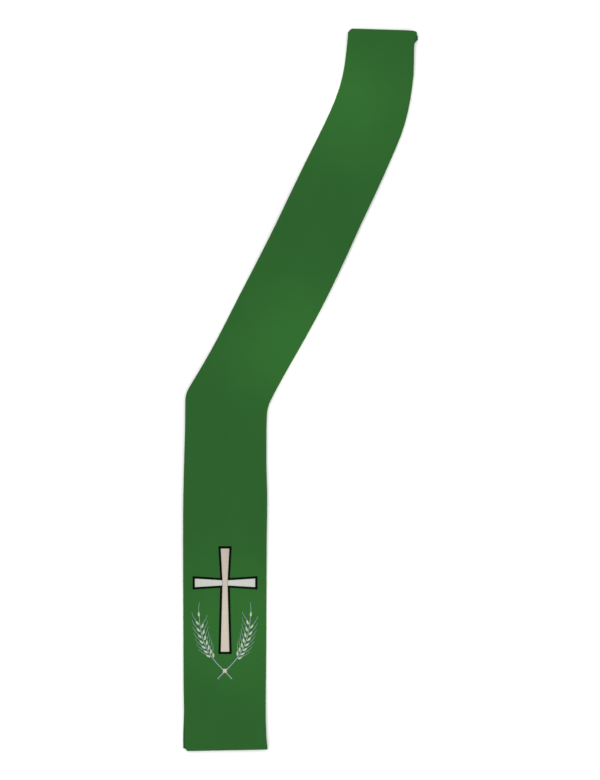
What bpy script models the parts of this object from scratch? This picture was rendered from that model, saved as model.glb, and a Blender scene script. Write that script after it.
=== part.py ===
"""A deacon's stole, laid flat: one long shaped band of cloth, folded in half at the shoulder.

Metres, +Z up. The stole lies on the plane z = 0 with its front half on top. +Y runs from the hems
to the shoulder fold. The origin is on that plane, in the middle of the stole's footprint.

The draft below is made as a tailor makes it: heights are measured up from the front hem, at about a
quarter of the way across it, and widths left and right of the line down the middle of the hanging
part. The finished stole is moved onto its origin at the very end.
"""

import bisect
import math
from collections import namedtuple

import bmesh
import bpy
from mathutils import Vector

MM = 0.001

# ---------------------------------------------------------------- driving dimensions

CLOTH = 1.8 * MM  # face cloth, stiffening and lining, pressed into one wall
TOUCH_GAP = 0.3 * MM  # left between pieces that touch or are sewn together
FOLD_RADIUS = 3.4 * MM  # outside of the soft fold at the shoulder
FOLD_LIFT_LENGTH = 95 * MM  # how far from the fold the front half comes down onto the back half
SEAM_ANGLE = math.radians(118)  # shoulder seam, round the fold from its top: just behind the ridge

RIDGE_LEFT = 1213.1 * MM  # height of the shoulder fold's ridge at its left and right ends
RIDGE_RIGHT = 1209.6 * MM
RIDGE_CORNER = 5.5 * MM  # the ends of the fold are eased off over this width
HEM_CORNER = 2.2 * MM
SLANT_FADE = 60 * MM  # a slanting hem or fold is evened out over this length of cloth

CROSS_FOOT = 166 * MM  # the cross's lower end, above the front hem
CROSS_HEIGHT = 174 * MM
CROSS_ARM_HEIGHT = 116 * MM  # from the foot to the middle of the arms
CROSS_SPAN = 102 * MM
CROSS_WAIST = 9.5 * MM  # the cream bars, where they cross
CROSS_FLARE = 15.5 * MM  # and at their ends
CROSS_BORDER = 3.6 * MM  # black cloth that shows all round the cream
SATIN = 1.0 * MM  # padded satin, the border's and the cross's own
APPLIQUE_STEP = 16 * MM  # the cross pieces bend to the cloth below them in steps of this length

# Each row is one level of the front half's cut: its height and its left and right edges.
Level = namedtuple("Level", "up left right")
FRONT_CUT = [
    Level(0 * MM, -66.2 * MM, 71.9 * MM),  # hem, its right corner flared
    Level(26 * MM, -67.7 * MM, 69.2 * MM),
    Level(68 * MM, -69.0 * MM, 68.2 * MM),
    Level(130 * MM, -69.9 * MM, 68.8 * MM),
    Level(186 * MM, -70.1 * MM, 69.3 * MM),
    Level(354 * MM, -70.6 * MM, 69.9 * MM),
    Level(421 * MM, -70.3 * MM, 70.7 * MM),
    Level(488 * MM, -68.8 * MM, 69.3 * MM),
    Level(547 * MM, -67.2 * MM, 69.5 * MM),
    Level(569 * MM, -67.0 * MM, 70.7 * MM),  # hip: the inner side turns in a curve
    Level(581 * MM, -66.9 * MM, 73.5 * MM),
    Level(591 * MM, -66.5 * MM, 78.1 * MM),  # hip: the outer side turns at a corner
    Level(601 * MM, -64.7 * MM, 83.1 * MM),
    Level(613 * MM, -58.5 * MM, 89.6 * MM),
    Level(640 * MM, -42.2 * MM, 104.6 * MM),
    Level(690 * MM, -14.1 * MM, 133.2 * MM),  # the slanting part, over the chest
    Level(757 * MM, 20.1 * MM, 169.0 * MM),
    Level(841 * MM, 63.5 * MM, 208.9 * MM),
    Level(885 * MM, 85.4 * MM, 228.7 * MM),
    Level(925 * MM, 104.4 * MM, 247.8 * MM),
    Level(993 * MM, 137.2 * MM, 278.5 * MM),
    Level(1043 * MM, 162.1 * MM, 298.9 * MM),  # the curve up to the shoulder, narrowing
    Level(1077 * MM, 178.0 * MM, 308.0 * MM),
    Level(1110 * MM, 190.9 * MM, 313.6 * MM),
    Level(1144 * MM, 199.4 * MM, 317.1 * MM),
    Level(1178 * MM, 203.9 * MM, 317.3 * MM),
    Level(1194 * MM, 205.5 * MM, 319.2 * MM),
    Level(1200 * MM, 206.1 * MM, 321.8 * MM),
    Level(1212 * MM, 207.4 * MM, 323.5 * MM),  # shoulder
]

# How far the back half's edges lie to the right of the front half's, so where it peeps out.
BACK_SHIFT = [
    Level(0 * MM, -4.2 * MM, -4.0 * MM),  # its hem lies a little to the left
    Level(26 * MM, -2.8 * MM, -3.0 * MM),
    Level(64 * MM, -0.4 * MM, -1.6 * MM),
    Level(110 * MM, 1.0 * MM, -1.0 * MM),
    Level(560 * MM, 0.8 * MM, -0.9 * MM),
    Level(590 * MM, -0.4 * MM, -1.2 * MM),  # and its outer corner shows at the hip
    Level(625 * MM, 0.9 * MM, -1.0 * MM),
    Level(1160 * MM, 1.0 * MM, -1.2 * MM),
    Level(1178 * MM, 1.0 * MM, -2.2 * MM),
    Level(1188 * MM, 0.7 * MM, 0.0 * MM),  # a small ear of it stands out beside the fold
    Level(1191 * MM, 0.4 * MM, 2.2 * MM),
    Level(1194 * MM, 0.2 * MM, 4.3 * MM),
    Level(1197 * MM, 0.1 * MM, 3.0 * MM),
    Level(1200 * MM, 0.0 * MM, 1.2 * MM),
    Level(1203 * MM, 0.0 * MM, 0.1 * MM),
    Level(1206 * MM, 0.0 * MM, 0.0 * MM),
]

# The ear's edge curls up off the floor: how high, how far in from the edge, and along which rows.
EAR_LIFT = 1.7 * MM
EAR_DEPTH = 13 * MM
EAR_RISES = (1180 * MM, 1191 * MM)
EAR_FALLS = (1200 * MM, 1207 * MM)

# Each hem is a straight line across the band: its height at the left and right edges.
Hem = namedtuple("Hem", "left right")
FRONT_HEM = Hem(-0.7 * MM, 2.1 * MM)
BACK_HEM = Hem(2.8 * MM, 6.0 * MM)

# Low rounded swells of the front half, where the cloth stands just clear of the half below.
Swell = namedtuple("Swell", "up across length width rise")
SWELLS = [
    Swell(30 * MM, 48 * MM, 70 * MM, 40 * MM, 1.1 * MM),  # right corner of the hem
    Swell(240 * MM, -6 * MM, 115 * MM, 62 * MM, 1.7 * MM),  # under the cross
    Swell(455 * MM, -30 * MM, 120 * MM, 46 * MM, 0.8 * MM),
    Swell(690 * MM, 32 * MM, 100 * MM, 56 * MM, 2.2 * MM),  # above the hip's inner side
    Swell(865 * MM, -26 * MM, 105 * MM, 46 * MM, 0.9 * MM),
    Swell(1088 * MM, -20 * MM, 74 * MM, 50 * MM, 1.7 * MM),  # inside the shoulder curve
]

# Where the mesh needs closer steps along the band: from, to, step.
Zone = namedtuple("Zone", "start end step")
ZONES = [
    Zone(2 * MM, 30 * MM, 9 * MM),  # the peeping hem corner
    Zone(565 * MM, 628 * MM, 6 * MM),  # the hip's corner
    Zone(1170 * MM, 1215 * MM, 2.6 * MM),  # the fold's ends and the ear
]
PLAIN_STEP = 21 * MM
INNER_COLUMNS = 8
FOLD_STEP = math.radians(15)

LEFT, RIGHT = 0, 1


# ---------------------------------------------------------------- curves

def curve_through(points):
    """A smooth curve through (x, y) points that never swings past them, as a function of x."""
    xs, ys = zip(*points)
    spans = [b - a for a, b in zip(xs, xs[1:])]
    slopes = [(b - a) / span for a, b, span in zip(ys, ys[1:], spans)]
    tangents = [slopes[0]]
    for before, after in zip(slopes, slopes[1:]):
        turns_back = before * after <= 0
        tangents.append(0.0 if turns_back else 2 * before * after / (before + after))
    tangents.append(slopes[-1])

    def height_at(x):
        x = min(max(x, xs[0]), xs[-1])
        i = min(bisect.bisect_right(xs, x), len(xs) - 1) - 1
        t = (x - xs[i]) / spans[i]
        rise = (3 - 2 * t) * t * t
        lean = tangents[i] * t * (1 - t) ** 2 - tangents[i + 1] * t * t * (1 - t)
        return ys[i] * (1 - rise) + ys[i + 1] * rise + lean * spans[i]

    return height_at


def ease(t):
    """0 below 0, 1 above 1, and a smooth step between."""
    t = min(max(t, 0.0), 1.0)
    return t * t * (3 - 2 * t)


def roundness(distance, radius):
    """How far a round edge of that radius falls back, at a distance in from where it ends."""
    if distance >= radius:
        return 0.0
    return radius - math.sqrt(radius ** 2 - (radius - distance) ** 2)


def corner_cut(distance, reach):
    """How much shorter the cloth is near its corner, at a distance in from its side."""
    return 0.8 * reach * max(0.0, 1 - distance / reach) ** 2


front_left = curve_through([(level.up, level.left) for level in FRONT_CUT])
front_right = curve_through([(level.up, level.right) for level in FRONT_CUT])
shift_left = curve_through([(level.up, level.left) for level in BACK_SHIFT])
shift_right = curve_through([(level.up, level.right) for level in BACK_SHIFT])


def front_edges(up):
    """The front half's left and right edges at a height."""
    return front_left(up), front_right(up)


def back_edges(up):
    """The back half's left and right edges at a height."""
    return front_left(up) + shift_left(up), front_right(up) + shift_right(up)


# ---------------------------------------------------------------- the faces of the cloth

FIELD_TOP = 2 * CLOTH + TOUCH_GAP  # the front half's face, where it lies on the back half
FOLD_LINE = (RIDGE_LEFT + RIDGE_RIGHT) / 2 - FOLD_RADIUS  # where the flat cloth starts to turn over

# A column runs along the band: a share of the way across, plus a fixed distance in from an edge.
Column = namedtuple("Column", "share inset")
# A half has its edges as a function of height, its hem, 1 or -1 for whether its outer face looks up
# or down where it lies flat, and the angle it goes round the fold before the shoulder seam.
Half = namedtuple("Half", "name edges hem outward turn")
FRONT = Half("front_half", front_edges, FRONT_HEM, 1, SEAM_ANGLE)
BACK = Half("back_half", back_edges, BACK_HEM, -1, math.pi - SEAM_ANGLE)


def front_height(across, up):
    """The height of the front half's face above the floor, across the band's own middle line."""
    left, right = front_edges(up)
    off_middle = across - (left + right) / 2
    swell = 0.0
    for s in SWELLS:
        swell += s.rise * math.exp(-((up - s.up) / s.length) ** 2 - ((off_middle - s.across) / s.width) ** 2)
    lifted = ease((up - FOLD_LINE + FOLD_LIFT_LENGTH) / FOLD_LIFT_LENGTH)
    return FIELD_TOP + swell * (1 - lifted) + (2 * FOLD_RADIUS - FIELD_TOP) * lifted


def ear_height(from_right, row):
    """How far the back half's ear stands off the floor, on a row of its grid and in from its edge."""
    rise = ease((row - EAR_RISES[0]) / (EAR_RISES[1] - EAR_RISES[0]))
    fall = ease((EAR_FALLS[1] - row) / (EAR_FALLS[1] - EAR_FALLS[0]))
    return EAR_LIFT * rise * fall * ease(1 - from_right / EAR_DEPTH)


def corner_distance(column, width):
    """How far a column is from the nearer edge of the band."""
    from_left = column.share * width + column.inset
    return min(from_left, width - from_left)


def hem_height(half, column):
    """Where a column meets the hem: a straight hem with its corners rounded."""
    width = half.edges(0)[RIGHT] - half.edges(0)[LEFT]
    straight = half.hem.left + (half.hem.right - half.hem.left) * column.share
    return straight + corner_cut(corner_distance(column, width), HEM_CORNER)


def fold_height(half, column):
    """Where a column starts to turn over at the shoulder."""
    width = half.edges(FOLD_LINE)[RIGHT] - half.edges(FOLD_LINE)[LEFT]
    ridge = RIDGE_LEFT + (RIDGE_RIGHT - RIDGE_LEFT) * column.share
    return ridge - FOLD_RADIUS - corner_cut(corner_distance(column, width), RIDGE_CORNER)


def face_point(half, column, station):
    """The point of a half's outer face on a column, at a distance along the band from the hem."""
    turned = max(0.0, station - FOLD_LINE) / FOLD_RADIUS
    flat = min(station, FOLD_LINE)
    up = flat + hem_height(half, column) * max(0.0, 1 - flat / SLANT_FADE)
    fold = fold_height(half, column)
    up += (fold - FOLD_LINE) * max(0.0, 1 - (FOLD_LINE - flat) / SLANT_FADE)
    up += FOLD_RADIUS * math.sin(turned)
    left, right = half.edges(up if turned < math.pi / 2 else fold + FOLD_RADIUS)
    across = left + column.share * (right - left) + column.inset
    if half is BACK:
        height = FOLD_RADIUS * (1 - math.cos(turned)) + ear_height(right - across, flat)
    elif turned:
        height = FOLD_RADIUS * (1 + math.cos(turned))
    else:
        height = front_height(across, up)
    return Vector((across, up, height))


def columns():
    """The columns across a half, from left to right: close at the rounded edges, even between."""
    rim = [0.0, CLOTH / 6, CLOTH / 2, 2.6 * MM]
    yield from (Column(0.0, inset) for inset in rim)
    yield from (Column(i / INNER_COLUMNS, 0.0) for i in range(1, INNER_COLUMNS))
    yield from (Column(1.0, -inset) for inset in reversed(rim))


def stations(half):
    """The distances along a half where it gets a row of points, from the hem to the shoulder seam."""
    seam_gap = TOUCH_GAP * FOLD_RADIUS / (FOLD_RADIUS - CLOTH / 2)
    end = FOLD_LINE + FOLD_RADIUS * half.turn - seam_gap / 2
    rows = [0.0, CLOTH / 6, CLOTH / 2]
    while rows[-1] < FOLD_LINE:
        here = rows[-1]
        zone = next((z for z in ZONES if z.start <= here < z.end), None)
        step = zone.step if zone else PLAIN_STEP
        ahead = [z.start for z in ZONES if here < z.start < here + step]
        rows.append(min([here + step, FOLD_LINE, *ahead]))
    turns = math.ceil((end - CLOTH / 2 - FOLD_LINE) / (FOLD_RADIUS * FOLD_STEP))
    for i in range(1, turns + 1):
        rows.append(FOLD_LINE + (end - CLOTH / 2 - FOLD_LINE) * i / turns)
    return [*rows, end - CLOTH / 6, end]


# ---------------------------------------------------------------- walls of cloth

def outward_normals(half, rows, points):
    """Which way the cloth's face looks at each point of a grid of rows of points."""
    last_column = len(points[0]) - 1
    normals = []
    for i, station in enumerate(rows):
        if station >= FOLD_LINE:  # straight out from the middle of the fold
            turned = (station - FOLD_LINE) / FOLD_RADIUS
            out = Vector((0.0, math.sin(turned), half.outward * math.cos(turned)))
            normals.append([out] * len(points[0]))
            continue
        row = []
        for j in range(last_column + 1):
            over = points[i][min(j + 1, last_column)] - points[i][max(j - 1, 0)]
            along = points[i + 1][j] - points[max(i - 1, 0)][j]
            row.append(over.cross(along).normalized() * half.outward)
        normals.append(row)
    return normals


def build_half(half, material):
    """One half of the stole, as a wall of cloth with a rounded rim."""
    rows, across = stations(half), list(columns())
    points = [[face_point(half, column, station) for column in across] for station in rows]
    normals = outward_normals(half, rows, points)
    bm = bmesh.new()
    outer, inner = [], []
    for i, station in enumerate(rows):
        outer_row, inner_row = [], []
        for j in range(len(across)):
            point, normal = points[i][j], normals[i][j]
            width = (points[i][-1] - points[i][0]).length
            from_edge = min(corner_distance(across[j], width), station, rows[-1] - station)
            rim = roundness(max(0.0, from_edge), CLOTH / 2)
            on_rim = i in (0, len(rows) - 1) or j in (0, len(across) - 1)
            outer_row.append(bm.verts.new(point - normal * rim))
            deeper = point - normal * (CLOTH - rim)
            inner_row.append(outer_row[-1] if on_rim else bm.verts.new(deeper))
        outer.append(outer_row)
        inner.append(inner_row)
    for skin in (outer, inner):
        for row, above in zip(skin, skin[1:]):
            for a, b, c, d in zip(row, row[1:], above[1:], above):
                bm.faces.new((a, b, c, d))
    bmesh.ops.recalc_face_normals(bm, faces=bm.faces)
    return finished_object(half.name, bm, material)


def finished_object(name, bm, material):
    """A bmesh as an object in the scene, with one material and smooth shading."""
    mesh = bpy.data.meshes.new(name)
    bm.to_mesh(mesh)
    bm.free()
    mesh.materials.append(material)
    mesh.shade_smooth()
    obj = bpy.data.objects.new(name, mesh)
    bpy.context.scene.collection.objects.link(obj)
    return obj


# ---------------------------------------------------------------- the cross sewn on the front

CROSS_MIDDLE = CROSS_FOOT + CROSS_ARM_HEIGHT


def both_sides(right_side):
    """An anticlockwise outline, from its right side's corners given from the foot up."""
    return right_side + [(-across, up) for across, up in reversed(right_side)]


def border_outline():
    """The black cross that lies under the others and shows all round them."""
    waist, flare = CROSS_WAIST / 2 + CROSS_BORDER, CROSS_FLARE / 2 + CROSS_BORDER
    tip = CROSS_SPAN / 2 + CROSS_BORDER
    return both_sides([
        (flare, CROSS_FOOT - CROSS_BORDER),
        (waist, CROSS_MIDDLE - waist),
        (tip, CROSS_MIDDLE - flare),
        (tip, CROSS_MIDDLE + flare),
        (waist, CROSS_MIDDLE + waist),
        (flare, CROSS_FOOT + CROSS_HEIGHT + CROSS_BORDER),
    ])


def upright_outline():
    """The cream upright, which widens from the crossing to both its ends."""
    return both_sides([
        (CROSS_FLARE / 2, CROSS_FOOT),
        (CROSS_WAIST / 2, CROSS_MIDDLE - CROSS_WAIST / 2),
        (CROSS_WAIST / 2, CROSS_MIDDLE + CROSS_WAIST / 2),
        (CROSS_FLARE / 2, CROSS_FOOT + CROSS_HEIGHT),
    ])


def arm_outline(side):
    """One white arm, which butts against the upright; side is -1 on the left and 1 on the right."""
    root, tip = CROSS_WAIST / 2 + TOUCH_GAP, CROSS_SPAN / 2
    corners = [
        (side * root, CROSS_MIDDLE - CROSS_WAIST / 2),
        (side * tip, CROSS_MIDDLE - CROSS_FLARE / 2),
        (side * tip, CROSS_MIDDLE + CROSS_FLARE / 2),
        (side * root, CROSS_MIDDLE + CROSS_WAIST / 2),
    ]
    return corners if side > 0 else corners[::-1]


def build_applique(name, outline, lift, material):
    """A flat-cut piece of satin that follows the front half's face, lifted off it."""
    bm = bmesh.new()
    bm.faces.new([bm.verts.new((across, up, 0.0)) for across, up in outline])
    reach = max(CROSS_SPAN, CROSS_HEIGHT)
    steps = [i * APPLIQUE_STEP for i in range(-int(reach / APPLIQUE_STEP), int(reach / APPLIQUE_STEP) + 1)]
    for direction in (Vector((1.0, 0.0, 0.0)), Vector((0.0, 1.0, 0.0))):
        for step in steps:
            cut_at = Vector((0.0, CROSS_MIDDLE, 0.0)) + direction * step
            whole = bm.verts[:] + bm.edges[:] + bm.faces[:]
            bmesh.ops.bisect_plane(bm, geom=whole, plane_co=cut_at, plane_no=direction, dist=0.01 * MM)
    raised = bmesh.ops.extrude_face_region(bm, geom=bm.faces[:])["geom"]
    top = [v for v in raised if isinstance(v, bmesh.types.BMVert)]
    bmesh.ops.translate(bm, verts=top, vec=(0.0, 0.0, SATIN))
    for vert in bm.verts:
        vert.co.z += front_height(vert.co.x, vert.co.y) + lift
    bmesh.ops.recalc_face_normals(bm, faces=bm.faces)
    return finished_object(name, bm, material)


# ---------------------------------------------------------------- colours and assembly

def cloth_material(name, colour, roughness):
    """A matt cloth of one colour, given as linear red, green and blue."""
    material = bpy.data.materials.new(name)
    material.use_nodes = True
    shader = material.node_tree.nodes["Principled BSDF"]
    shader.inputs["Base Color"].default_value = (*colour, 1.0)
    shader.inputs["Roughness"].default_value = roughness
    shader.inputs["Metallic"].default_value = 0.0
    return material


def centre_footprint(objects):
    """Moves the meshes so that the middle of the whole stole's footprint is the origin."""
    corners = [vert.co for obj in objects for vert in obj.data.vertices]
    middle = [(min(c[axis] for c in corners) + max(c[axis] for c in corners)) / 2 for axis in (0, 1)]
    for obj in objects:
        for vert in obj.data.vertices:
            vert.co.x -= middle[0]
            vert.co.y -= middle[1]


def main():
    for obj in list(bpy.data.objects):
        bpy.data.objects.remove(obj)
    green = cloth_material("green cloth", (0.029, 0.122, 0.027), 0.8)
    black = cloth_material("black satin", (0.002, 0.002, 0.003), 0.5)
    cream = cloth_material("cream satin", (0.62, 0.53, 0.44), 0.5)
    white = cloth_material("white satin", (0.71, 0.71, 0.68), 0.5)
    on_border = 2 * TOUCH_GAP + SATIN
    centre_footprint([
        build_half(BACK, green),
        build_half(FRONT, green),
        build_applique("cross_border", border_outline(), TOUCH_GAP, black),
        build_applique("cross_upright", upright_outline(), on_border, cream),
        build_applique("cross_arm_left", arm_outline(-1), on_border, white),
        build_applique("cross_arm_right", arm_outline(1), on_border, white),
    ])


main()
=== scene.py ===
# %% [markdown]
# # A deacon's stole, laid flat
#
# A deacon's stole is one long shaped band of stiffened cloth. It is folded in half at the shoulder,
# bends at the hip and is embroidered above the front hem. Here it lies on a pale surface with its
# front half on its back half. The frame holds its plain solids at their real size. This lesson
# dresses them: cloth shells with pressed edges, satin stitch made thread by thread, and finishes
# made of nodes.

# %% The frame, and the lengths that everything is measured in
import math

import bmesh
import bpy
import numpy as np
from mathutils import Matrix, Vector, noise
from mathutils.bvhtree import BVHTree


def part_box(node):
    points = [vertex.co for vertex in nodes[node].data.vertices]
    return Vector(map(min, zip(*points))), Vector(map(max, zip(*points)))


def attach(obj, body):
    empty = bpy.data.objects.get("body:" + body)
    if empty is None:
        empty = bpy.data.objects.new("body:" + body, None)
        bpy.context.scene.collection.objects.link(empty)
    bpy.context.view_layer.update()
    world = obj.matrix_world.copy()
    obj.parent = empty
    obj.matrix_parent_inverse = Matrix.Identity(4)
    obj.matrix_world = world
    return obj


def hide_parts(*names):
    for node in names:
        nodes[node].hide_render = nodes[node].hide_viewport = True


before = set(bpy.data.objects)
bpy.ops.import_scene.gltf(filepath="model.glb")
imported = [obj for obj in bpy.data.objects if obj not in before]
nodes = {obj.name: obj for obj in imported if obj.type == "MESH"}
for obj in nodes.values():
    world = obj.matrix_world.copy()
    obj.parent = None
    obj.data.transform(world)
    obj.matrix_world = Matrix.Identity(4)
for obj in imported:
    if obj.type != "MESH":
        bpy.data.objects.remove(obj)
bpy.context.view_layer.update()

MM = 0.001
scene = bpy.context.scene
print("solids in the frame:", ", ".join(sorted(nodes)))

# %% [markdown]
# ## Camera
#
# The stole is looked at from straight above. A long lens from four metres up keeps both ends at the
# same scale. The sensor's width belongs to the picture's longer side, which is its height here, so
# the lens follows from the length of surface that the picture has to show from top to bottom.

# %% Camera
PICTURE_PIXELS_HIGH = 780
PIXEL = 1.681 * MM  # length on the stole that one pixel of the picture covers
CAMERA_HEIGHT = 4.0
SENSOR = 36.0
VIEW_MIDDLE = (-0.45 * PIXEL, -0.12 * PIXEL)  # the stole sits this far from the picture's middle

camera = bpy.data.cameras.new("camera")
camera.sensor_width = SENSOR
camera.lens = SENSOR * CAMERA_HEIGHT / (PICTURE_PIXELS_HIGH * PIXEL)
camera_object = bpy.data.objects.new("camera", camera)
camera_object.location = (*VIEW_MIDDLE, CAMERA_HEIGHT)
scene.collection.objects.link(camera_object)
scene.camera = camera_object
print(f"lens {camera.lens:.1f} mm")

# %% [markdown]
# ## Light
#
# Vestments are pictured in a bright room with very little shadow, so that their colour reads true.
# A white world gives light from everywhere. One sun with a wide disc, like a large soft box, gives the
# cloth a little shape and falls off nowhere. Three small spots leave soft brighter pools on the band:
# below the shoulder, above the hip and on the embroidery. They shine through green-edged glass, so the
# green is a little richer in the pools. The Standard view keeps it as it is, without a film curve.

# %% Light
WORLD_STRENGTH = 1.0
SUN_STRENGTH = 0.5
SUN_DISC = math.radians(35)
SUN_PLACE = (-0.9, 0.8, 2.0)
SPOT_HEIGHT = 1.5
SPOT_POWER = 32.0
SPOT_TINT = (0.85, 1.0, 0.65)
POOL_RADIUS = 135 * MM
LAMP_RADIUS = 80 * MM
# Where the middle of each pool of light lies, and its strength.
POOLS = [
    {"across": 84 * MM, "along": 482 * MM, "strength": 1.0},
    {"across": -8 * MM, "along": 78 * MM, "strength": 1.0},
    {"across": -105 * MM, "along": -392 * MM, "strength": 0.95},
]


def add_lamp(name, kind, place, aim, power):
    """A lamp at a place, turned towards the point it lights."""
    lamp = bpy.data.lights.new(name, kind)
    lamp.energy = power
    lamp_object = bpy.data.objects.new(name, lamp)
    lamp_object.location = place
    lamp_object.rotation_euler = (Vector(aim) - Vector(place)).to_track_quat("-Z", "Y").to_euler()
    scene.collection.objects.link(lamp_object)
    return lamp


world = bpy.data.worlds.new("white room")
world.use_nodes = True
world.node_tree.nodes["Background"].inputs["Color"].default_value = (1.0, 1.0, 1.0, 1.0)
world.node_tree.nodes["Background"].inputs["Strength"].default_value = WORLD_STRENGTH
scene.world = world

sun = add_lamp("soft_box", "SUN", SUN_PLACE, (0.0, 0.0, 0.0), SUN_STRENGTH)
sun.angle = SUN_DISC
for number, pool in enumerate(POOLS):
    ground = (pool["across"], pool["along"], 0.0)
    above = (pool["across"], pool["along"], SPOT_HEIGHT)
    spot = add_lamp(f"pool_{number}", "SPOT", above, ground, SPOT_POWER * pool["strength"])
    spot.spot_size = 2 * math.atan(POOL_RADIUS / SPOT_HEIGHT)
    spot.spot_blend = 1.0
    spot.shadow_soft_size = LAMP_RADIUS
    spot.color = SPOT_TINT

scene.view_settings.view_transform = "Standard"
print(f"{len(POOLS)} pools of light, {POOL_RADIUS / MM:.0f} mm in radius")

# %% [markdown]
# ## Small helpers for finishes
#
# Colours are written as they look on a screen, in hex, and one function turns them into the linear
# values that a renderer works in. One more function adds a node, with its settings, its fixed inputs
# and what feeds the others, so that each finish below reads as a short list.

# %% Colours and nodes
def linear(hex_colour):
    """A screen colour such as "#2f612e" as linear red, green, blue and alpha."""
    channels = [int(hex_colour[i:i + 2], 16) / 255 for i in (1, 3, 5)]
    bent = [c / 12.92 if c <= 0.04045 else ((c + 0.055) / 1.055) ** 2.4 for c in channels]
    return (*bent, 1.0)


def add_node(tree, kind, values=None, links=None, **settings):
    """Adds a shader node: settings are its own, values its fixed inputs, links what feeds the rest."""
    node = tree.nodes.new("ShaderNode" + kind)
    for name, value in settings.items():
        setattr(node, name, value)
    for name, value in (values or {}).items():
        node.inputs[name].default_value = value
    for name, socket in (links or {}).items():
        tree.links.new(socket, node.inputs[name])
    return node


def new_finish(name):
    """An empty material with its principled shader and its object coordinates."""
    material = bpy.data.materials.new(name)
    material.use_nodes = True
    tree = material.node_tree
    shader = tree.nodes["Principled BSDF"]
    place = add_node(tree, "TexCoord").outputs["Object"]
    return material, tree, shader, place


print(f"a mid grey on a screen, #808080, is {linear('#808080')[0]:.2f} in linear light")

# %% [markdown]
# ## The surface it lies on
#
# A plain, almost white board, large enough that its edge never shows. It is stage, not part of the
# stole. A trace of roughness variation keeps it from looking painted in.

# %% Pale surface
FLOOR_SIDE = 30.0
FLOOR_GAP = 0.2 * MM
SPECKLE_SIZE = 25 * MM

floor_mesh = bpy.data.meshes.new("floor")
floor_bm = bmesh.new()
bmesh.ops.create_grid(floor_bm, x_segments=1, y_segments=1, size=FLOOR_SIDE / 2)
bmesh.ops.translate(floor_bm, verts=floor_bm.verts, vec=(0.0, 0.0, -FLOOR_GAP))
floor_bm.to_mesh(floor_mesh)
floor_bm.free()
floor = bpy.data.objects.new("floor", floor_mesh)
scene.collection.objects.link(floor)

board, tree, shader, place = new_finish("matt white board")
speckle = add_node(tree, "TexNoise", {"Scale": 1 / SPECKLE_SIZE, "Detail": 3.0}, {"Vector": place})
rough = add_node(tree, "MapRange", {"To Min": 0.75, "To Max": 0.9}, {"Value": speckle.outputs["Fac"]})
tree.links.new(rough.outputs["Result"], shader.inputs["Roughness"])
shader.inputs["Base Color"].default_value = linear("#fcfcfc")
shader.inputs["Specular IOR Level"].default_value = 0.1
floor.data.materials.append(board)
print(f"a board {FLOOR_SIDE:.0f} m wide, {FLOOR_GAP / MM:.1f} mm under the stole")

# %% [markdown]
# ## Reading the stole's outline from the frame
#
# Each half is a bent band, so it is read as a tailor reads a pattern: in sections. A plane across
# the band, at one height, cuts the solid's edges at its left and right sides. A plane along it cuts
# the hem and the fold. The functions below do this for a solid, and the last one drops a plumb line
# on it, from above or below, to find the height of its face.

# %% Sections through a solid
PLUMB_LENGTH = 100 * MM


class Pattern:
    """The outline and the face of one half of the stole, read from its solid."""

    def __init__(self, solid):
        mesh = solid.data
        self.points = np.array([vert.co for vert in mesh.vertices])
        self.edges = np.array([edge.vertices for edge in mesh.edges])
        triangles = [tuple(face.vertices) for face in mesh.polygons]
        self.skin = BVHTree.FromPolygons([Vector(p) for p in self.points], triangles)
        self.low, self.high = self.points.min(axis=0), self.points.max(axis=0)

    def cut(self, axis, at):
        """Where the plane at that value of an axis (0 across, 1 along) cuts the solid's edges."""
        start, end = self.points[self.edges[:, 0]], self.points[self.edges[:, 1]]
        crossing = (start[:, axis] - at) * (end[:, axis] - at) < 0
        start, end = start[crossing], end[crossing]
        share = (at - start[:, axis]) / (end[:, axis] - start[:, axis])
        return start + (end - start) * share[:, None]

    def sides(self, along):
        """The band's left and right edges at a distance along the stole."""
        across = self.cut(1, along)[:, 0]
        return across.min(), across.max()

    def face(self, across, along, side):
        """The height of the solid's upper (1) or lower (-1) face at a point."""
        outside = Vector((across, along, side * PLUMB_LENGTH))
        return self.skin.ray_cast(outside, Vector((0.0, 0.0, -side)))[0].z


front_pattern = Pattern(nodes["front_half"])
back_pattern = Pattern(nodes["back_half"])
STRAIGHT_UP = 250 * MM  # this far above the hem the band is straight
hem_line = front_pattern.low[1]
straight = front_pattern.sides(hem_line + STRAIGHT_UP)
centre_line = sum(straight) / 2
print(f"band {(straight[1] - straight[0]) / MM:.1f} mm wide, its middle at x = {centre_line / MM:.1f} mm")

# %% [markdown]
# ## The two cloth shells
#
# A stole is cut flat, stiffened, turned right side out and pressed. Its edges are soft rolls of
# cloth two or three layers thick. It could be simulated, but a pressed band hardly moves, so the
# shape is given instead: a grid is laid along the band, each of its points goes where the
# pattern says, and a low relief is pressed into it. Solidify then gives the grid the cloth's
# thickness, and Bevel rolls its rim.
#
# The grid's rows follow the band round the shoulder fold. Its columns are close together near the
# edges, where the turnings show as a faint step, and evenly spaced between them.

# %% Sizes of the cloth
CLOTH = 1.8 * MM
RIM_ROLL = 0.75 * MM
FOLD_RADIUS = front_pattern.high[2] / 2
SEAM_ANGLE = math.radians(118)  # the shoulder seam, round the fold from its top
SEAM_GAP = 0.3 * MM
SLANT_FADE = 60 * MM  # a slanting hem or fold is evened out over this length
PLUMB_INSET = 1.6 * MM  # a solid's rim is round, so its face is measured this far in

TURNING = 11 * MM  # width of the turnings inside the edges
TURNING_STEP = 0.11 * MM
TURNING_EASE = 4 * MM
HEM_TURNING = 26 * MM
WAVE_HEIGHT = 0.35 * MM  # long, low unevenness of a band that has been folded and worn
WAVE_LENGTH = 95 * MM

fold_line = front_pattern.high[1] - FOLD_RADIUS
print(f"the fold's radius is {FOLD_RADIUS / MM:.2f} mm")


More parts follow.
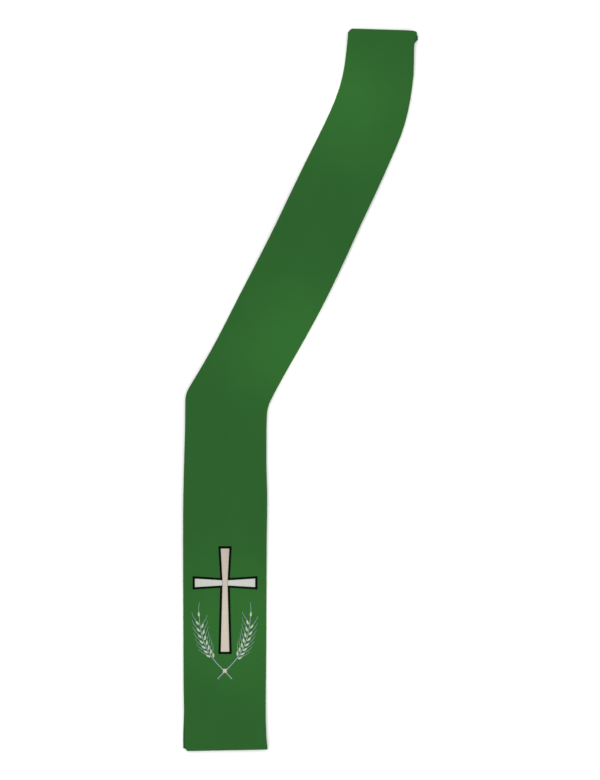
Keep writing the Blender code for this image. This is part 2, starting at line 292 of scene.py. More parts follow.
def ease(t):
    """0 below 0, 1 above 1, and a smooth step between."""
    t = min(max(t, 0.0), 1.0)
    return t * t * (3 - 2 * t)


# %% Rows and columns of the grid
EDGE_COLUMNS = [inset * MM for inset in (0.0, 0.9, 1.7, 2.6, 3.7, 5.2, 7.0, 9.0, 11.0, 13.0, 15.5)]
INNER_COLUMNS = 36
HEM_ROWS = [up * MM for up in (0.0, 0.9, 1.7, 2.6, 3.7)]
FINE_ROW = 1.8 * MM
PLAIN_ROW = 3.6 * MM
FOLD_ROW = 0.9 * MM
HEM_FINE, FOLD_FINE = 32 * MM, 60 * MM  # the stretches with fine rows at a half's two ends
EMBROIDERED = (115 * MM, 355 * MM)  # and the one under the embroidery, measured from the hem


def column_places():
    """Each column as a share of the band's width and a distance to add to it, from left to right."""
    shares = [column / INNER_COLUMNS for column in range(1, INNER_COLUMNS)]
    inner = [(share, EDGE_COLUMNS[-1] * (1 - 2 * share)) for share in shares]
    left = [(0.0, inset) for inset in EDGE_COLUMNS]
    right = [(1.0, -inset) for inset in reversed(EDGE_COLUMNS)]
    return left + inner + right


def row_places(length, turn):
    """Each row's distance along the band: up the flat part, then round the fold to the seam."""
    rows = list(HEM_ROWS)
    while rows[-1] < length:
        at_an_end = rows[-1] < HEM_FINE or rows[-1] > length - FOLD_FINE
        step = FINE_ROW if at_an_end or EMBROIDERED[0] < rows[-1] < EMBROIDERED[1] else PLAIN_ROW
        rows.append(length if length - rows[-1] < 1.5 * step else rows[-1] + step)
    seam = FOLD_RADIUS * turn - SEAM_GAP
    steps = round(seam / FOLD_ROW)
    return rows + [length + seam * step / steps for step in range(1, steps + 1)]


print(f"{len(column_places())} columns, {len(row_places(fold_line - hem_line, SEAM_ANGLE))} rows in front")


# %% Where a half's hem and fold lie
NEAR_HEM, NEAR_FOLD = 14 * MM, 9 * MM  # clear of the two ends' rounded corners
SIDE_INSET = 0.5 * MM
CORNER_ROUNDS = 3  # of smoothing, over the corners of the solid's few facets


def band_end(pattern, end):
    """Where each column crosses a half near its hem (-1) or its fold (1), and how far along it ends."""
    near_end = pattern.low[1] + NEAR_HEM if end < 0 else pattern.high[1] - NEAR_FOLD
    left, right = pattern.sides(near_end)
    across = [left + share * (right - left) + inset for share, inset in column_places()]
    reached = []
    for place in across:
        cut = pattern.cut(0, min(max(place, left + SIDE_INSET), right - SIDE_INSET))[:, 1]
        reached.append(cut.min() if end < 0 else cut.max())
    for _ in range(CORNER_ROUNDS):
        middle = [(a + 2 * b + c) / 4 for a, b, c in zip(reached, reached[1:], reached[2:])]
        reached = [reached[0], *middle, reached[-1]]
    return across, reached


# %% [markdown]
# ## The shoulder fold
#
# Stiffened cloth doesn't crease at a fold. It turns over in a small round bend, and both halves share
# it. The fold runs straight from side to side and has a rounded corner at its left end. The solid has
# few columns and cuts that corner in one long facet, so it is drawn again, as a parabola that falls
# from the straight line. Where the line slants the fold bulges further along, so that it is as round
# at its corners as it is in its middle.

# %% The line of the fold
CORNER_DROP, CORNER_REACH = 7.1 * MM, 8 * MM  # of the rounded corner at the fold's left end
fold_across, fold_ends = band_end(front_pattern, 1)

first, last = len(EDGE_COLUMNS), -len(EDGE_COLUMNS) - 1  # the columns just clear of the two corners
lean = (fold_ends[last] - fold_ends[first]) / (fold_across[last] - fold_across[first])
for column in range(first):
    straight_end = fold_ends[first] - lean * (fold_across[first] - fold_across[column])
    short_of_it = max(0.0, 1 - (fold_across[column] - fold_across[0]) / CORNER_REACH)
    fold_ends[column] = straight_end - CORNER_DROP * short_of_it ** 2

fold_bulges = [FOLD_RADIUS * math.hypot(1.0, slant) for slant in np.gradient(fold_ends, fold_across)]
print(f"the fold bulges {min(fold_bulges) / MM:.1f} to {max(fold_bulges) / MM:.1f} mm past its start")

# %% [markdown]
# ## Low relief
#
# Pressed cloth isn't quite flat. The turnings inside its edges show as a faint step, folding and
# wearing leave long low waves, and dense embroidery draws the cloth down round it in small puckers.
# Sculpting would do it too, but each of these is a plain rule, so it is added to a point's height as
# a sum. The puckers follow the outline of the cross, whose sizes are read from the frame first.

# %% Where the cross will be
border_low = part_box("cross_border")[0]
upright_low, upright_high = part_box("cross_upright")
arm_low, arm_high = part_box("cross_arm_right")

CROSS_X = (upright_low.x + upright_high.x) / 2
CROSS_Y = (arm_low.y + arm_high.y) / 2
FLARE = upright_high.x - upright_low.x
WAIST = 9.5 * MM
BORDER = upright_low.y - border_low.y
print(f"cross {(upright_high.y - upright_low.y) / MM:.0f} mm high, border {BORDER / MM:.1f} mm")


def cross_corners(grow):
    """The twelve corners of the cross, anticlockwise from the foot's right one, grown by a margin."""
    waist, flare = WAIST / 2 + grow, FLARE / 2 + grow
    foot, head, tip = upright_low.y - grow, upright_high.y + grow, arm_high.x - CROSS_X + grow
    right_side = [
        (flare, foot), (waist, CROSS_Y - waist), (tip, CROSS_Y - flare),
        (tip, CROSS_Y + flare), (waist, CROSS_Y + waist), (flare, head),
    ]
    return [Vector((CROSS_X + x, y)) for x, y in right_side + [(-x, y) for x, y in reversed(right_side)]]


# %% The relief that pressing, wear and stitching leave in the cloth
PUCKER_DEPTH = 0.28 * MM
PUCKER_REACH = 4.5 * MM
PUCKER_LENGTH = 8.5 * MM
PUCKER_DRIFT = 25 * MM  # the puckers' spacing wanders over this length
SMALL_WAVES = 2.3  # of these to one long wave
outline = cross_corners(BORDER)


def drawn_down(across, along):
    """How far the stitches round the cross draw the cloth down at a point, in small uneven waves."""
    spot, nearest, around, walked = Vector((across, along)), math.inf, 0.0, 0.0
    for start, end in zip(outline, outline[1:] + outline[:1]):
        side = end - start
        share = min(max((spot - start).dot(side) / side.length_squared, 0.0), 1.0)
        gap = (spot - start - side * share).length
        if gap < nearest:
            nearest, around = gap, walked + share * side.length
        walked += side.length
    uneven = 2 * noise.noise(Vector((around / PUCKER_DRIFT, 0.0, 0.0)))
    waves = 0.6 + 0.4 * math.sin(2 * math.pi * around / PUCKER_LENGTH + uneven)
    return PUCKER_DEPTH * waves * math.exp(-nearest / PUCKER_REACH)


def pressed_relief(inset, from_hem, across, along):
    """How far the cloth's face stands above its flat line at a point."""
    turned = 1 - ease((inset - TURNING) / TURNING_EASE + 0.5)
    hemmed = 1 - ease((from_hem - HEM_TURNING) / TURNING_EASE + 0.5)
    spot = Vector((across, along, 0.0)) / WAVE_LENGTH
    wave = 0.5 + 0.5 * noise.noise(spot) + 0.25 * noise.noise(spot * SMALL_WAVES)
    relief = TURNING_STEP * max(turned, hemmed) + WAVE_HEIGHT * max(0.0, wave)
    if EMBROIDERED[0] < from_hem < EMBROIDERED[1]:
        relief -= drawn_down(across, along)
    return relief


around_cross = sum((b - a).length for a, b in zip(outline, outline[1:] + outline[:1]))
print(f"the puckers follow {around_cross / MM:.0f} mm of border")


# %% One shell
END_CLEAR = 6 * MM  # the sides are read this far from the hem and the fold, clear of their corners
FOLD_EASE = 12 * MM  # the cloth comes to the fold's own height over this length
RELIEF_FADE = 40 * MM
FOLD_CLEAR = 8 * MM  # the fold starts less than this far below its line, even at its corners


def build_cloth(pattern, outward, turn):
    """A half of the stole as a sheet; outward is 1 where its face looks up, -1 where it looks down.

    Its UV map is in metres, across the band and along it, so that the weave goes round the fold.
    """
    hem = band_end(pattern, -1)[1]
    start, length = pattern.low[1], fold_line - pattern.low[1]
    columns, rows = column_places(), row_places(length, turn)
    bm = bmesh.new()
    cloth_map = bm.loops.layers.uv.new("cloth")
    grid = bmesh.ops.create_grid(bm, x_segments=len(columns) - 1, y_segments=len(rows) - 1, size=0.5)
    sides = {}
    for vert in grid["verts"]:
        column = round((vert.co.x + 0.5) * (len(columns) - 1))
        row = rows[round((vert.co.y + 0.5) * (len(rows) - 1))]
        share, inset = columns[column]
        flat, turned = min(row, length), max(0.0, row - length) / FOLD_RADIUS
        along = start + flat
        along += (hem[column] - start) * max(0.0, 1 - flat / SLANT_FADE)
        fold_start = fold_ends[column] - fold_bulges[column]
        along += (fold_start - fold_line) * max(0.0, 1 - (length - flat) / SLANT_FADE)
        section = round(min(max(along, start + END_CLEAR), fold_line - END_CLEAR), 5)
        if section not in sides:
            sides[section] = pattern.sides(section)
        left, right = sides[section]
        across = left + share * (right - left) + inset
        plumb = min(max(across, left + PLUMB_INSET), right - PLUMB_INSET)
        height = FOLD_RADIUS * (1 + outward * math.cos(turned))
        height += (pattern.face(plumb, section, outward) - height) * ease((length - flat) / FOLD_EASE)
        if outward > 0:
            relief = pressed_relief(min(across - left, right - across), flat, across, along)
            height += relief * ease((length - flat) / RELIEF_FADE)
        vert.co = (across, along + fold_bulges[column] * math.sin(turned), height)
        for loop in vert.link_loops:
            loop[cloth_map].uv = (across, start + row)
    if outward < 0:
        bmesh.ops.reverse_faces(bm, faces=bm.faces)
    return bm


def melt_facets(bm, rounds):
    """Evens out the flat facets of the solid in the cloth's height, clear of the fold."""
    movable = [v for v in bm.verts if v.co.y < fold_line - FOLD_CLEAR]
    for _ in range(rounds):
        bmesh.ops.smooth_vert(bm, verts=movable, factor=0.5, use_axis_z=True)


front_bm = build_cloth(front_pattern, 1, SEAM_ANGLE)
back_bm = build_cloth(back_pattern, -1, math.pi - SEAM_ANGLE)
FRONT_ROUNDS, BACK_ROUNDS = 10, 6
melt_facets(front_bm, FRONT_ROUNDS)
melt_facets(back_bm, BACK_ROUNDS)
heights = [vert.co.z / MM for vert in front_bm.verts]
print(f"the front sheet's face is {min(heights):.1f} to {max(heights):.1f} mm above the surface")


# %% From sheet to wall
RIM_SEGMENTS = 3
RIM_ANGLE = math.radians(50)  # the rim's edges are sharper than this, and the cloth's folds aren't


def finished_piece(name, bm, material, wall, roll=0.0):
    """A bmesh as a riding object, thickened to a wall, its rim rolled where roll says how much."""
    mesh = bpy.data.meshes.new(name)
    bm.to_mesh(mesh)
    mesh.materials.append(material)
    mesh.shade_smooth()
    piece = bpy.data.objects.new(name, mesh)
    scene.collection.objects.link(piece)
    solidify = piece.modifiers.new("wall", "SOLIDIFY")
    solidify.thickness = wall
    solidify.offset = -1.0
    if roll:
        bevel = piece.modifiers.new("rolled rim", "BEVEL")
        bevel.width = roll
        bevel.segments = RIM_SEGMENTS
        bevel.limit_method = "ANGLE"
        bevel.angle_limit = RIM_ANGLE
    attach(piece, "root")
    print(f"{name}: {len(mesh.polygons)} faces, a wall of {wall / MM:.1f} mm")
    return piece


# %% [markdown]
# ## Green cloth
#
# Everyday stoles are polyester gabardine: a tight twill, dyed deep green, whose rib climbs steeply.
# It is matt, with a faint bloom where the threads stand up. The ribs are about 0.4 mm apart on the
# real cloth. They are drawn 0.9 mm apart here, so that they show from close by and stay quiet from
# afar. Each rib is a row of short floats, so a second wave cuts it into beads. Shade is painted into
# the furrows and light onto the tops of the ribs. Uneven yarn gives long thin streaks, and dye and
# handling give soft cloudy patches.
#
# The weave reads the cloth's own UV map, which is in metres, so it bends with the cloth at the fold.

# %% Dyed gabardine
RIB_SPACING = 0.9 * MM
RIB_CLIMB = math.radians(63)  # of the ribs, from straight across the band
FLOAT_LENGTH = 1.5 * MM  # of the warp over the weft, along a rib
FLOAT_DIP = 0.5  # how much of a rib's height is left between two floats
# painted shade in the furrows and painted light on the rib tops, each this share of the colour
RIB_SHADE_AND_LIGHT = 0.2  # how much darker the furrows between the ribs are
STREAK_WIDTH = 2.2 * MM
STREAK_LENGTH = 60 * MM
STREAK_SHARE = 0.35  # of the streaks in the change of shade; the rest is clouds
CLOUD_SIZE = 90 * MM


def wave_scale(spacing):
    """The Scale at which a wave texture's bands lie that far apart: it has 20 radians in a unit."""
    return 2 * math.pi / 20 / spacing


def dyed_gabardine(name, deep, bright):
    """Green twill between a deep and a bright shade."""
    material, tree, shader, _ = new_finish(name)
    place = add_node(tree, "UVMap", uv_map="cloth").outputs["UV"]
    turned = add_node(tree, "Mapping", {"Rotation": (0.0, 0.0, math.pi / 2 - RIB_CLIMB)}, {"Vector": place})
    rib = add_node(
        tree, "TexWave",
        {"Scale": wave_scale(RIB_SPACING), "Distortion": 0.8, "Detail": 1.0, "Detail Scale": 0.3},
        {"Vector": turned.outputs["Vector"]}, bands_direction="X")
    float_ends = add_node(
        tree, "TexWave",
        {"Scale": wave_scale(FLOAT_LENGTH), "Distortion": 2.5, "Detail": 1.0, "Detail Scale": 1.0},
        {"Vector": turned.outputs["Vector"]}, bands_direction="Y")
    beads = add_node(
        tree, "MapRange", {"To Min": FLOAT_DIP, "To Max": 1.0}, {"Value": float_ends.outputs["Fac"]})
    twill = add_node(
        tree, "Math", None, {0: rib.outputs["Fac"], 1: beads.outputs["Result"]}, operation="MULTIPLY")
    drawn_out = add_node(
        tree, "Mapping", {"Scale": (1 / STREAK_WIDTH, 1 / STREAK_LENGTH, 1.0)}, {"Vector": place})
    streak = add_node(
        tree, "TexNoise", {"Scale": 1.0, "Detail": 2.0}, {"Vector": drawn_out.outputs["Vector"]})
    cloud = add_node(tree, "TexNoise", {"Scale": 1 / CLOUD_SIZE, "Detail": 3.0}, {"Vector": place})
    blend = add_node(
        tree, "Mix", {"Factor": STREAK_SHARE}, {"A": cloud.outputs["Fac"], "B": streak.outputs["Fac"]})
    contrast = add_node(
        tree, "MapRange", {"From Min": 0.25, "From Max": 0.75}, {"Value": blend.outputs["Result"]})
    dye = add_node(
        tree, "Mix", {"A": linear(deep), "B": linear(bright)}, {"Factor": contrast.outputs["Result"]},
        data_type="RGBA")
    # Painted shade and light: the colour is darker in the furrows and lighter on the tops of the ribs.
    painted_rib_shading = add_node(
        tree, "MapRange", {"From Max": 0.75, "To Min": 1 - RIB_SHADE_AND_LIGHT, "To Max": 1 + RIB_SHADE_AND_LIGHT},
        {"Value": twill.outputs["Value"]})
    colour = add_node(
        tree, "VectorMath", None, {0: dye.outputs["Result"], "Scale": painted_rib_shading.outputs["Result"]},
        operation="SCALE")
    tree.links.new(colour.outputs["Vector"], shader.inputs["Base Color"])
    rough = add_node(tree, "MapRange", {"To Min": 0.74, "To Max": 0.86}, {"Value": streak.outputs["Fac"]})
    tree.links.new(rough.outputs["Result"], shader.inputs["Roughness"])
    yarn = add_node(
        tree, "Bump", {"Strength": 0.35, "Distance": 0.12 * MM}, {"Height": streak.outputs["Fac"]})
    woven = add_node(
        tree, "Bump", {"Strength": 0.6, "Distance": 0.14 * MM},
        {"Height": twill.outputs["Value"], "Normal": yarn.outputs["Normal"]})
    tree.links.new(woven.outputs["Normal"], shader.inputs["Normal"])
    shader.inputs["Specular IOR Level"].default_value = 0.12
    shader.inputs["Sheen Weight"].default_value = 0.04
    shader.inputs["Sheen Roughness"].default_value = 0.5
    return material


green_cloth = dyed_gabardine("dyed polyester gabardine", "#235722", "#285d26")

front_surface = BVHTree.FromBMesh(front_bm)
front_cloth = finished_piece("front_cloth", front_bm, green_cloth, CLOTH, RIM_ROLL)
back_cloth = finished_piece("back_cloth", back_bm, green_cloth, CLOTH, RIM_ROLL)
front_bm.free()
back_bm.free()
for cloth, node in ((front_cloth, "front_half"), (back_cloth, "back_half")):
    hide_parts(node)

# %% [markdown]
# ## Satin stitch
#
# Machine embroidery fills a narrow shape with threads that run straight across it, side by side, from
# one outline to the other. That is also the simplest way to model it: a patch is a grid whose rows run
# between two rails. Its height is a low dome, because of the padding under the stitches, and each
# thread is a small ridge on it. A thread is 0.4 mm thick in fact. It is drawn 0.9 mm thick, so that
# single threads can be seen from close by.
#
# Wide shapes would have loose loops, so their threads are caught down part of the way across. These
# needle points are small dips, set like the joints of a brick wall.

# %% One patch of satin stitch
THREAD = 0.9 * MM
THREAD_RIDGE = 0.2 * MM
ROWS_PER_THREAD = 4
CATCH_DIP, CATCH_REACH = 0.34 * MM, 0.4 * MM
SUNK = 0.25 * MM  # the threads' ends go down into the cloth
UNEVEN = 0.04 * MM  # one thread stands this much above or below the next
GROOVE_TUCK = 0.7  # a patch is narrower in its grooves, by this share of a ridge's height
END_START = 0.15  # share of the padding's height that is there at once at a patch's end
THREAD_STEP = 0.73  # through the noise; not 1, because noise is 0 at every whole number
PATCH_STEP = 900  # through the noise, for a metre of a patch's length


def cloth_height(across, along):
    """The height of the front cloth's face."""
    above = Vector((across, along, PLUMB_LENGTH))
    return front_surface.ray_cast(above, Vector((0.0, 0.0, -1.0)))[0].z


def satin_patch(
        bm, left_rail, right_rail, length, crown,
        steps=8, catches=0, end_fade=1.2 * MM, pitch=THREAD, slant=0.0):
    """Adds threads across from one rail to the other; a rail gives a point for each share of the length.

    The threads are a pitch apart. Slant is how many pitches a thread moves on along the patch while
    it crosses it. The UV map is measured in threads: U along each thread, V from thread to thread.
    """
    thread_map = bm.loops.layers.uv.get("threads") or bm.loops.layers.uv.new("threads")
    threads = max(2, round(length / pitch))
    rows_per_thread = round(ROWS_PER_THREAD * pitch / THREAD)
    laid = len(bm.faces) // (steps * ROWS_PER_THREAD)
    grid = bmesh.ops.create_grid(bm, x_segments=steps, y_segments=threads * rows_per_thread, size=0.5)
    for vert in grid["verts"]:
        u, v = vert.co.x + 0.5, vert.co.y + 0.5
        left, right = left_rail(v), right_rail(v)
        width = (right - left).length
        count = threads * v + slant * (u - 0.5)
        ridge = abs(math.sin(math.pi * count))
        number = math.floor(count + 1e-6)
        wobble = noise.noise(Vector((number * THREAD_STEP, length * PATCH_STEP, 0.0)))
        tuck = GROOVE_TUCK * THREAD_RIDGE * (1 - ridge) / max(width, THREAD)
        spot = left.lerp(right, tuck + u * (1 - 2 * tuck))
        dome = math.sqrt(max(0.0, 1 - (2 * u - 1) ** 4))
        faded = dome * ease(min(v, 1 - v) * length / end_fade + END_START)
        height = (crown + SUNK) * faded + (ridge * THREAD_RIDGE + wobble * UNEVEN) * dome
        for catch in range(catches):
            caught = (catch + 0.25 + 0.25 * (number % 3)) / catches
            height -= CATCH_DIP * ridge * math.exp(-((u - caught) * width / CATCH_REACH) ** 2) * dome
        vert.co = (spot.x, spot.y, cloth_height(spot.x, spot.y) - SUNK + height)
        for loop in vert.link_loops:
            loop[thread_map].uv = ((v * length if slant else u * width) / THREAD, laid + count)


print(f"threads {THREAD / MM:.1f} mm apart, each {ROWS_PER_THREAD} rows of the grid")

# %% [markdown]
# ## Rayon thread
#
# Embroidery thread is rayon, spun bright: smooth, soft and glossy along the fibre. Its gloss is what
# makes satin stitch change from light to dark as it turns. Each thread takes the dye a little
# differently, and less light comes out of the grooves between them. The patches' UV map counts the
# threads, so one finish can give every thread its own shade and run its fibres along it.

# %% Rayon finish
GROOVE_SHADE = 0.6  # how much of its colour a thread keeps deep in a groove
FIBRES_ACROSS = 7  # fibres side by side in one thread; drawn thicker than the real ones, to show
FIBRE_RUN = 6  # how many threads' thicknesses a fibre runs along the top before it turns under
DRIFT_SIZE = 9 * MM  # of the patches in which the dye drifts
DRIFT_SHARE = 0.4  # of this drift in the change of shade; the rest is each thread's own
ROUGHNESS_SPREAD = 0.06


def rayon(name, deep, bright, roughness, gloss):
    """Bright rayon thread between two close shades."""
    material, tree, shader, place = new_finish(name)
    threads = add_node(tree, "UVMap", uv_map="threads").outputs["UV"]
    count = add_node(tree, "SeparateXYZ", None, {"Vector": threads}).outputs["Y"]
    number = add_node(tree, "Math", None, {0: count}, operation="FLOOR")
    own_shade = add_node(tree, "TexWhiteNoise", None, {"W": number.outputs["Value"]}, noise_dimensions="1D")
    drift = add_node(tree, "TexNoise", {"Scale": 1 / DRIFT_SIZE, "Detail": 1.0}, {"Vector": place})
    uneven = add_node(
        tree, "Mix", {"Factor": DRIFT_SHARE}, {"A": own_shade.outputs["Value"], "B": drift.outputs["Fac"]})
    dye = add_node(
        tree, "Mix", {"A": linear(deep), "B": linear(bright)}, {"Factor": uneven.outputs["Result"]},
        data_type="RGBA")
    turn_of_thread = add_node(tree, "Math", {1: math.pi}, {0: count}, operation="MULTIPLY")
    wave = add_node(tree, "Math", None, {0: turn_of_thread.outputs["Value"]}, operation="SINE")
    ridge = add_node(tree, "Math", None, {0: wave.outputs["Value"]}, operation="ABSOLUTE")
    light = add_node(
        tree, "MapRange", {"From Max": 0.5, "To Min": GROOVE_SHADE}, {"Value": ridge.outputs["Value"]})
    colour = add_node(
        tree, "VectorMath", None, {0: dye.outputs["Result"], "Scale": light.outputs["Result"]},
        operation="SCALE")
    tree.links.new(colour.outputs["Vector"], shader.inputs["Base Color"])
    rough = add_node(
        tree, "MapRange",
        {"To Min": roughness - ROUGHNESS_SPREAD, "To Max": roughness + ROUGHNESS_SPREAD},
        {"Value": own_shade.outputs["Value"]})
    tree.links.new(rough.outputs["Result"], shader.inputs["Roughness"])
    drawn_out = add_node(
        tree, "Mapping", {"Scale": (1 / FIBRE_RUN, FIBRES_ACROSS, 1.0)}, {"Vector": threads})
    fibre = add_node(tree, "TexNoise", {"Scale": 1.0, "Detail": 1.0}, {"Vector": drawn_out.outputs["Vector"]})
    bump = add_node(tree, "Bump", {"Strength": 0.5, "Distance": 0.06 * MM}, {"Height": fibre.outputs["Fac"]})
    tree.links.new(bump.outputs["Normal"], shader.inputs["Normal"])
    shader.inputs["Specular IOR Level"].default_value = gloss
    return material


cream_rayon = rayon("cream rayon thread", "#b5a99f", "#beb2a8", 0.42, 0.35)
white_rayon = rayon("white rayon thread", "#b6b7b4", "#bfc0bc", 0.42, 0.35)
black_rayon = rayon("black rayon thread", "#020303", "#050607", 0.5, 0.03)
pale_rayon = rayon("grey-green rayon thread", "#a0ae99", "#afb9a7", 0.42, 0.35)
blue_rayon = rayon("pale blue rayon thread", "#7e8c9f", "#949fb0", 0.42, 0.35)
print(f"a fibre is drawn {THREAD / FIBRES_ACROSS / MM:.2f} mm thick")

# %% [markdown]
# ## The cross
#
# A plain cross with ends that widen a little, made of a cream upright and two white arms, with a black
# border worked round it. Its sizes come from the solids in the frame. The border is twelve patches, one
# for each side of the cross's outline, that meet in mitres, as an embroiderer works a corner.

# %% The border
BORDER_TUCK = 0.9 * MM  # the border's inner side lies under the cream and white
BORDER_CROWN = 0.9 * MM
MITRE_OVERLAP = 0.12 * MM  # the patches overlap by this much at a corner, so that no cloth shows
MITRE_FADE = 0.01 * MM  # and keep their height up to it
BORDER_WALL = 0.4 * MM


def straight_rail(start, end):
    """A rail from one point to another."""
    return lambda share: start.lerp(end, share)


border_bm = bmesh.new()
outer, inner = cross_corners(BORDER), cross_corners(-BORDER_TUCK)
for corner in range(len(outer)):
    after = (corner + 1) % len(outer)
    side_length = (outer[after] - outer[corner]).length
    past = (outer[after] - outer[corner]).normalized() * MITRE_OVERLAP
    satin_patch(
        border_bm,
        straight_rail(inner[corner] - past, inner[after] + past),
        straight_rail(outer[corner] - past, outer[after] + past),
        side_length, BORDER_CROWN, steps=7, end_fade=MITRE_FADE)
border_satin = finished_piece("border_satin", border_bm, black_rayon, BORDER_WALL)
border_bm.free()
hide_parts("cross_border")


# %% The upright and the arms
CROSS_CROWN = 1.75 * MM
ARM_CROWN = 1.55 * MM
BAR_WALL = 0.5 * MM
ARM_TUCK = 0.5 * MM  # the arms' inner ends lie under the upright
CAUGHT_DOWN = {"steps": 24, "catches": 1}  # quarters of the width fall on whole steps


def bar_patch(bm, start, end, widths, crown):
    """A bar along a straight line, whose width goes from the first of widths to the second."""
    heading = (end - start).normalized()
    right = Vector((heading.y, -heading.x))
    satin_patch(
        bm,
        straight_rail(start - right * widths[0] / 2, end - right * widths[1] / 2),
        straight_rail(start + right * widths[0] / 2, end + right * widths[1] / 2),
        (end - start).length, crown, **CAUGHT_DOWN)


foot, head = Vector((CROSS_X, upright_low.y)), Vector((CROSS_X, upright_high.y))


def upright_rail(side):
    """The upright's left (-1) or right (1) edge: narrowest from one side of the arms to the other."""
    def rail(share):
        point = foot.lerp(head, share)
        if point.y < CROSS_Y:
            widening = max(0.0, CROSS_Y - WAIST / 2 - point.y) / (CROSS_Y - WAIST / 2 - foot.y)
        else:
            widening = max(0.0, point.y - CROSS_Y - WAIST / 2) / (head.y - CROSS_Y - WAIST / 2)
        return point + Vector((side * (WAIST + (FLARE - WAIST) * widening) / 2, 0.0))
    return rail


upright_bm = bmesh.new()
satin_patch(
    upright_bm, upright_rail(-1), upright_rail(1), (head - foot).length, CROSS_CROWN, **CAUGHT_DOWN)
upright_satin = finished_piece("upright_satin", upright_bm, cream_rayon, BAR_WALL)
upright_bm.free()
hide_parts("cross_upright")

for side, side_name in ((-1, "left"), (1, "right")):
    arm_bm = bmesh.new()
    root = Vector((CROSS_X + side * (WAIST / 2 - ARM_TUCK), CROSS_Y))
    tip = Vector((CROSS_X + side * (arm_high.x - CROSS_X), CROSS_Y))
    bar_patch(arm_bm, root, tip, (WAIST, FLARE), ARM_CROWN)
    arm = finished_piece(f"arm_satin_{side_name}", arm_bm, white_rayon, BAR_WALL)
    arm_bm.free()
    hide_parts(f"cross_arm_{side_name}")

# %% [markdown]
# ## Two ears of wheat
#
# Wheat is one of the oldest signs on vestments. Two stalks cross below the foot of the cross and curve
# up on either side of it. Each is a line of stem stitch, with grains in satin stitch set in pairs along
# its upper part, and a long thin awn from the tip of each grain. In stem stitch each thread starts
# beside the one before and lies almost along the line, so that the line looks like a twisted cord. It
# is the same patch with its threads slanted. One stalk is drawn, and the other is its mirror image.
# A cream tie holds them where they cross.

# %% The stalk's curve
STALK_POINTS = [(-12 * MM, 121 * MM), (5 * MM, 143 * MM), (39 * MM, 158 * MM), (43 * MM, 226 * MM)]
STALK_WIDTH = 2.0 * MM
GRAIN_LENGTH, GRAIN_WIDTH = 9.5 * MM, 3.9 * MM
GRAIN_PAIRS = 7
GRAINS_START, GRAINS_END = 0.50, 0.93
GRAIN_LEAN = math.radians(28)
AWN_LENGTH, AWN_WIDTH = 15 * MM, 1.1 * MM
GRAIN_BOW, AWN_BOW = 0.7 * MM, 1.2 * MM
STALK_CROWN, GRAIN_CROWN, AWN_CROWN = 0.3 * MM, 0.55 * MM, 0.15 * MM
# How far an awn turns away from its stalk, past its grain. Inside the curve the grains stand closer
# together, so their awns are turned out, and outside it they close in.
AWN_TURN_INSIDE, AWN_TURN_OUTSIDE = math.radians(9), math.radians(-9)
STEM_STITCH = {"pitch": 1.8 * MM, "slant": 1.4, "steps": 8}
LINE_FADE = 0.6 * MM
LINE_WALL = 0.3 * MM
CURVE_STEPS = 24  # a curve's length is measured in this many steps


def bezier(points, share):
    """A point on the cubic curve through four control points, and its heading."""
    a, b, c, d = (Vector(p) for p in points)
    t, s = share, 1 - share
    point = a * s ** 3 + b * 3 * s * s * t + c * 3 * s * t * t + d * t ** 3
    heading = (b - a) * s * s + (c - b) * 2 * s * t + (d - c) * t * t
    return point, heading.normalized()


def curve_rail(points, side, width_at):
    """The rail on one side of a curve: -1 left, 1 right."""
    def rail(share):
        point, heading = bezier(points, share)
        return point + Vector((heading.y, -heading.x)) * side * width_at(share) / 2
    return rail


def curved_patch(bm, points, width_at, crown, **stitching):
    """Stitches along a curve, as wide as width_at says at each share of it."""
    walk = [bezier(points, step / CURVE_STEPS)[0] for step in range(CURVE_STEPS + 1)]
    length = sum((b - a).length for a, b in zip(walk, walk[1:]))
    satin_patch(
        bm, curve_rail(points, -1, width_at), curve_rail(points, 1, width_at), length, crown,
        end_fade=LINE_FADE, **stitching)


print(f"each ear has {2 * GRAIN_PAIRS + 1} grains, {GRAIN_LENGTH / MM:.1f} mm long")


# %% Grains, awns and stems
def turn(vector, angle):
    """A flat vector turned anticlockwise."""
    return Vector((vector.x * math.cos(angle) - vector.y * math.sin(angle),
                   vector.x * math.sin(angle) + vector.y * math.cos(angle)))


def bowed_line(start, heading, length, bow):
    """Four control points of a line that bows to one side."""
    sideways = turn(heading, math.pi / 2) * bow
    return [start, start + heading * length / 3 + sideways, start + heading * length * 2 / 3 + sideways,
            start + heading * length]


def grain_width(share):
    """A grain is widest low down and pointed at its tip."""
    return GRAIN_WIDTH * max(0.08, math.sin(math.pi * (0.06 + 0.94 * share) ** 0.8))


def awn_width(share):
    """An awn is a single line of stitches that tapers."""
    return AWN_WIDTH * (1 - 0.45 * share)


def stalk_width(share):
    """The stalk is a little thinner at its top."""
    return STALK_WIDTH * (1 - 0.35 * share)


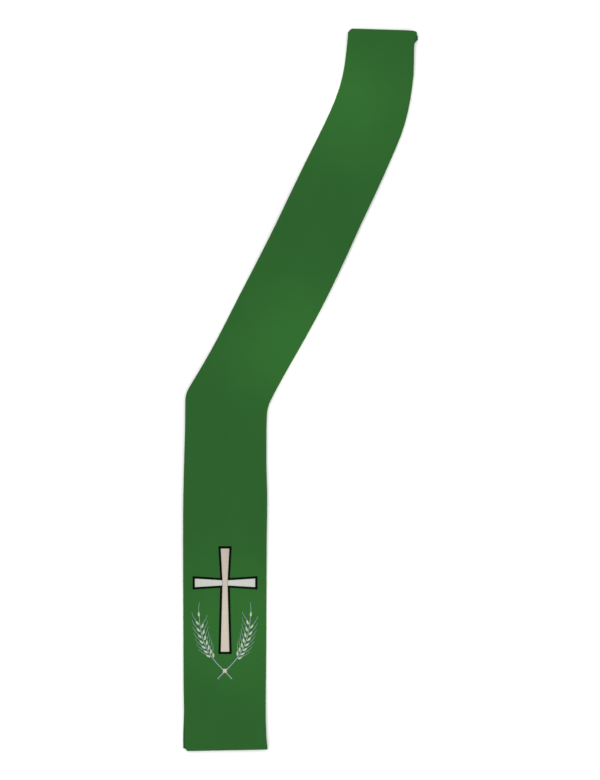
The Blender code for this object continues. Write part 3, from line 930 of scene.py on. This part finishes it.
def grain_and_awn(grain_bm, awn_bm, root, heading, bend, awn_turn):
    """One grain with its awn, bowing to the left (1) or to the right (-1)."""
    tip = root + heading * GRAIN_LENGTH
    grain_line = bowed_line(root, heading, GRAIN_LENGTH, bend * GRAIN_BOW)
    curved_patch(grain_bm, grain_line, grain_width, GRAIN_CROWN)
    awn_line = bowed_line(tip, turn(heading, bend * awn_turn), AWN_LENGTH, bend * AWN_BOW)
    curved_patch(awn_bm, awn_line, awn_width, AWN_CROWN, **STEM_STITCH)


def mirrored(points, side):
    """The stalk's control points placed on the stole, on its right (1) or left (-1) side."""
    return [(centre_line + side * across, hem_line + up) for across, up in points]


grain_bm, line_bm = bmesh.new(), bmesh.new()
for side in (-1, 1):
    stalk = mirrored(STALK_POINTS, side)
    curved_patch(line_bm, stalk, stalk_width, STALK_CROWN, **STEM_STITCH)
    for pair in range(GRAIN_PAIRS):
        for bend in (-1, 1):
            step = (pair + 0.25 * bend + 0.25) / (GRAIN_PAIRS - 0.5)
            share = GRAINS_START + (GRAINS_END - GRAINS_START) * step
            point, heading = bezier(stalk, share)
            outwards = turn(heading, bend * math.pi / 2)
            root = point + outwards * (STALK_WIDTH * 0.5 + GRAIN_WIDTH * 0.15)
            awn_turn = AWN_TURN_INSIDE if bend == side else AWN_TURN_OUTSIDE
            grain_and_awn(grain_bm, line_bm, root, turn(heading, bend * GRAIN_LEAN), bend, awn_turn)
    top, heading = bezier(stalk, 1.0)
    grain_and_awn(grain_bm, line_bm, top, heading, -side, AWN_TURN_OUTSIDE)

for name, bm, material in (("wheat_grains", grain_bm, pale_rayon), ("wheat_stems", line_bm, blue_rayon)):
    piece = finished_piece(name, bm, material, LINE_WALL)
    bm.free()

# %% The tie
TIE_LOW, TIE_HIGH = 131.5 * MM, 138.5 * MM  # above the hem, where the stalks cross
TIE_WIDTH, TIE_WAIST = 8.6 * MM, 6.8 * MM
TIE_CROWN = 0.9 * MM


def tie_width(share):
    """The tie is drawn in at its middle."""
    return TIE_WIDTH - (TIE_WIDTH - TIE_WAIST) * math.sin(math.pi * share)


tie_bm = bmesh.new()
tie_low = Vector((centre_line, hem_line + TIE_LOW))
tie_line = bowed_line(tie_low, Vector((0.0, 1.0)), TIE_HIGH - TIE_LOW, 0.0)
curved_patch(tie_bm, tie_line, tie_width, TIE_CROWN, steps=10)
wheat_tie = finished_piece("wheat_tie", tie_bm, cream_rayon, LINE_WALL)
tie_bm.free()
